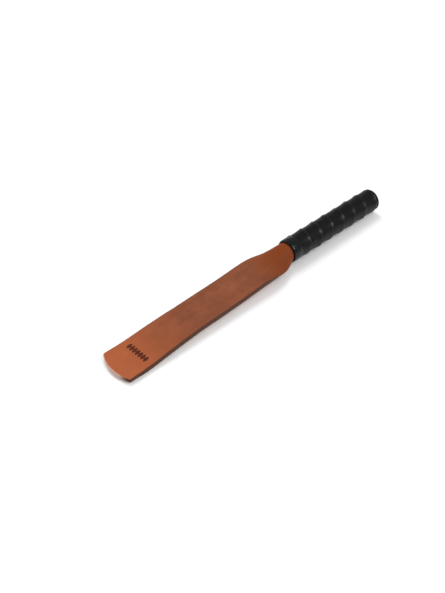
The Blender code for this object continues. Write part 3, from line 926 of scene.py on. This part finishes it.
# %% [markdown]
# ## The butt
#
# The butt is closed by a leather disc, let in for the head of one tack. The disc is cut from
# the same black leather as the strip, and its rim is pared round.

# %% Turn the disc and its tack
disc_front = along_grip(disc_points).min()
disc_bore = off_axis(disc_points).min()
tack_points = points_of("butt_tack")
tack_head = off_axis(tack_points).max()
tack_tip = along_grip(tack_points).min()
DISC_FILLET = 0.8 * MM
RECESS_ROOM, RECESS_DEPTH, RECESS_CHAMFER = 0.3 * MM, 1.3 * MM, 0.3 * MM
SPIKE_TAPER, SPIKE_RADIUS = 3.6 * MM, 0.9 * MM
HEAD_SEAT, HEAD_EDGE, DOME_FOOT, DOME_RISE = 1.0 * MM, 0.8 * MM, 0.6 * MM, 0.5 * MM
HEAD_UNDERSIDE_SHARE = 0.94
DOME_POINTS = 12
TACK_STEPS = 64
recess_radius = tack_head + RECESS_ROOM
recess_floor = GRIP_LENGTH - RECESS_DEPTH


def not_handled(place):
    return np.zeros(len(place))


disc_rim = rounded_outline((disc_front, GRIP_LENGTH), (recess_radius, DISC_RADIUS), DISC_FILLET)
disc_outline = [point for point in disc_rim if point[1] > recess_radius + DISC_FILLET]
disc_outline.append((GRIP_LENGTH, recess_radius + RECESS_CHAMFER))
disc_outline.append((GRIP_LENGTH - RECESS_CHAMFER, recess_radius))
disc_outline += [(recess_floor, recess_radius), (recess_floor, disc_bore), (disc_front, disc_bore)]
disc_mesh = lathe("butt_cover", disc_outline)
stand_on_grip(disc_mesh, unevenness=0.12 * MM, lump=6 * MM, seed=41, handled=not_handled)
show("butt_cover", disc_mesh, strip_finish, "butt_disc")

tack_outline = [(tack_tip, 0.0), (tack_tip + SPIKE_TAPER, SPIKE_RADIUS)]
tack_outline.append((GRIP_LENGTH - HEAD_SEAT, SPIKE_RADIUS))
tack_outline.append((GRIP_LENGTH - HEAD_SEAT, HEAD_UNDERSIDE_SHARE * tack_head))
tack_outline.append((GRIP_LENGTH - HEAD_EDGE, tack_head))
for share in np.linspace(1.0, 0.0, DOME_POINTS):
    rise = math.sqrt(1.0 - share**2)
    tack_outline.append((GRIP_LENGTH - DOME_FOOT + DOME_RISE * rise, tack_head * share))
tack_mesh = lathe("butt_tack_head", tack_outline, closed=False, steps=TACK_STEPS)
stand_on_grip(tack_mesh, unevenness=0.02 * MM, lump=2 * MM, seed=51, handled=not_handled)


# %% [markdown]
# ## Steel, wood and the pieces inside
#
# What the grip hides still gets a true finish, because someone may take the strop apart: the
# tacks are blued steel with a brushed face, the dowel is turned beech, and the filler is an
# offcut of the blade's own leather.

# %% Mix the hidden finishes
STEEL_BRIGHT, STEEL_BLUED = (0.44, 0.43, 0.42), (0.23, 0.22, 0.215)
BEECH_DARK, BEECH_LIGHT, BEECH_FLECK = (0.36, 0.2, 0.1), (0.52, 0.33, 0.18), (0.25, 0.12, 0.055)
FILLER_DARK, FILLER_LIGHT = (0.25, 0.09, 0.04), (0.4, 0.17, 0.08)


def mix_steel():
    mix = Recipe("tack_steel")
    place = mix.place()
    streak = mix.cloud(mix.stretch(place, (1.0, 8.0, 1.0)), 2.5 * MM, 4.0, 0.65)
    patina = mix.cloud(place, 3 * MM, 3.0)
    color = mix.mix(patina.step(0.35, 0.7), STEEL_BRIGHT, STEEL_BLUED)
    return mix.finish(
        Base_Color=color,
        Metallic=1.0,
        Roughness=0.3 + patina * 0.2,
        Normal=mix.bump(streak, 0.02 * MM),
    )


def mix_beech():
    mix = Recipe("turned_beech")
    place = mix.place()
    rings = mix.cloud(mix.stretch(place, (0.06, 1.0, 1.0)), 1.6 * MM, 3.0, 0.55)
    flecks = mix.cells(mix.stretch(place, (0.25, 1.0, 1.0)), 0.9 * MM)
    color = mix.mix(rings.step(0.35, 0.65), BEECH_DARK, BEECH_LIGHT)
    color = mix.mix((1.0 - flecks.step(0.05, 0.3)) * 0.5, color, BEECH_FLECK)
    return mix.finish(
        Base_Color=color,
        Roughness=0.6 + rings * 0.1,
        Normal=mix.bump(rings, 0.05 * MM),
    )


def mix_filler():
    mix = Recipe("filler_leather")
    place = mix.place()
    nap = mix.cloud(place, 0.9 * MM, 4.0, 0.7)
    drift = mix.cloud(place, 12 * MM, 3.0)
    color = mix.mix((nap * 0.4 + drift * 0.6).step(0.3, 0.7), FILLER_DARK, FILLER_LIGHT)
    return mix.finish(Base_Color=color, Roughness=0.9, Normal=mix.bump(nap, 0.2 * MM))


steel_finish = mix_steel()
show("butt_tack_head", tack_mesh, steel_finish, "butt_tack", sharp_over=35.0)


def refinish(name, finish):
    """Gives a CAD piece, whose shape is already right, a finish in place of its plain one."""
    nodes[name].data.materials.clear()
    nodes[name].data.materials.append(finish)


for name in sorted(nodes):
    if "tack_" in name and name != "butt_tack":
        refinish(name, steel_finish)
refinish("handle_core", mix_beech())
refinish("filler_strip", mix_filler())


# %% [markdown]
# ## A table, a tent and a camera
#
# A dark strop shows best on a white table in soft light. The key light stands high behind it
# and throws a short soft shadow towards the viewer. A wide, weak light overhead, a white
# world and a faint glow of the table keep that shadow pale. The key and the overhead light
# are kept out of the gloss, because their broad images would lay a haze over the leather. A
# narrow light in front draws the glints on the laps, and one to the left lights the tip's end.

# %% Lay the table
WHITE = (1.0, 1.0, 1.0)
TABLE_WHITE, TABLE_HAZE = (0.95, 0.95, 0.95), (0.93, 0.93, 0.935)
TABLE_GLOW = 0.08
TABLE_HALF_SIZE = 4.0
scene = bpy.context.scene
scene.view_settings.view_transform = "Standard"


def stage_floor():
    """A table top of white acrylic with a little light under it, so that shadows stay pale."""
    mix = Recipe("pale_table")
    place = mix.place()
    haze = mix.cloud(place, 0.25, 2.0)
    color = mix.mix(haze, TABLE_WHITE, TABLE_HAZE)
    finish = mix.finish(
        Base_Color=color,
        Roughness=0.7,
        Emission_Color=WHITE,
        Emission_Strength=TABLE_GLOW,
    )
    work = bmesh.new()
    bmesh.ops.create_grid(work, x_segments=8, y_segments=8, size=TABLE_HALF_SIZE)
    mesh = bpy.data.meshes.new("table_top")
    work.to_mesh(mesh)
    work.free()
    mesh.materials.append(finish)
    table = bpy.data.objects.new("table_top", mesh)
    scene.collection.objects.link(table)


stage_floor()


# %% Hang the lights
TENT_STRENGTH = 0.45


def softbox(name, direction, distance, size, power, glints=True):
    """Hangs a light that faces the strop. Without glints, it stays out of the gloss."""
    data = bpy.data.lights.new(name, "AREA")
    data.shape = "RECTANGLE"
    data.size, data.size_y = size
    data.energy = power
    light = bpy.data.objects.new(name, data)
    away = Vector(direction).normalized()
    light.location = away * distance
    light.rotation_euler = away.to_track_quat("Z", "Y").to_euler()
    light.visible_glossy = glints
    scene.collection.objects.link(light)
    print(f"{name}: {power} W at {distance} m")


overhead, behind = (0.0, 0.0, 1.0), (0.15, 0.5, 0.85)
in_front, at_left = (0.22, -0.57, 0.79), (-0.71, 0.53, 0.47)
softbox("overhead", overhead, distance=1.5, size=(1.5, 1.5), power=2.0, glints=False)
softbox("key_behind", behind, distance=1.6, size=(0.8, 0.8), power=12.0, glints=False)
softbox("fill_front", in_front, distance=1.6, size=(0.1, 0.8), power=9.0)
softbox("tip_light", at_left, distance=1.6, size=(0.5, 0.5), power=3.0)
world = bpy.data.worlds.new("tent")
world.use_nodes = True
background = world.node_tree.nodes["Background"]
background.inputs["Color"].default_value = (*WHITE, 1.0)
background.inputs["Strength"].default_value = TENT_STRENGTH
scene.world = world

# %% Place the camera
CAMERA_PLACE = Vector((-0.3879, -0.3770, 0.5163))
CAMERA_AIM = Vector((-0.0416, 0.0068, 0.0))
CAMERA_LENS = 42.45
SENSOR_WIDTH = 36.0

camera_data = bpy.data.cameras.new("camera")
camera_data.lens = CAMERA_LENS
camera_data.sensor_width = SENSOR_WIDTH
camera = bpy.data.objects.new("camera", camera_data)
camera.location = CAMERA_PLACE
camera.rotation_euler = (CAMERA_AIM - CAMERA_PLACE).to_track_quat("-Z", "Y").to_euler()
scene.collection.objects.link(camera)
scene.camera = camera
